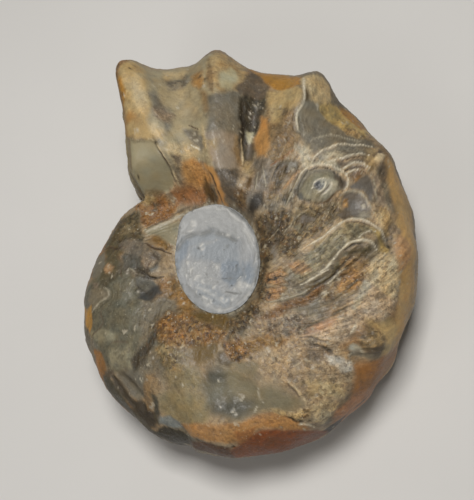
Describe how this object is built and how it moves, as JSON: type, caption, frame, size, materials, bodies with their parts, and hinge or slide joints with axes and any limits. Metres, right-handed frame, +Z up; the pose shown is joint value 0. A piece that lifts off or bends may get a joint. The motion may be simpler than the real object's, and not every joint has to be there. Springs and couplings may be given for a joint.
{
  "type": "ammonite fossil",
  "caption": "Stone fossil of a coiled, ribbed shell with a broken end and a filled hollow at its middle, lying on its flat side.",
  "frame": {"origin": "on the resting surface, under the middle of the fossil's outline seen from above", "axes": "+Z up along the coil axis, +Y along the fossil's longest extent towards the broken end, +X to the right seen from above"},
  "size_m": [0.1612, 0.194, 0.0801],
  "materials": {
    "stone": "varnished brown and grey limestone with rust stains and pale crystal seams",
    "filler": "smeared pale blue-grey filler, matt"
  },
  "bodies": {
    "root": {"ammonite": "stone", "umbilicus_plug": "filler"}
  },
  "joints": []
}
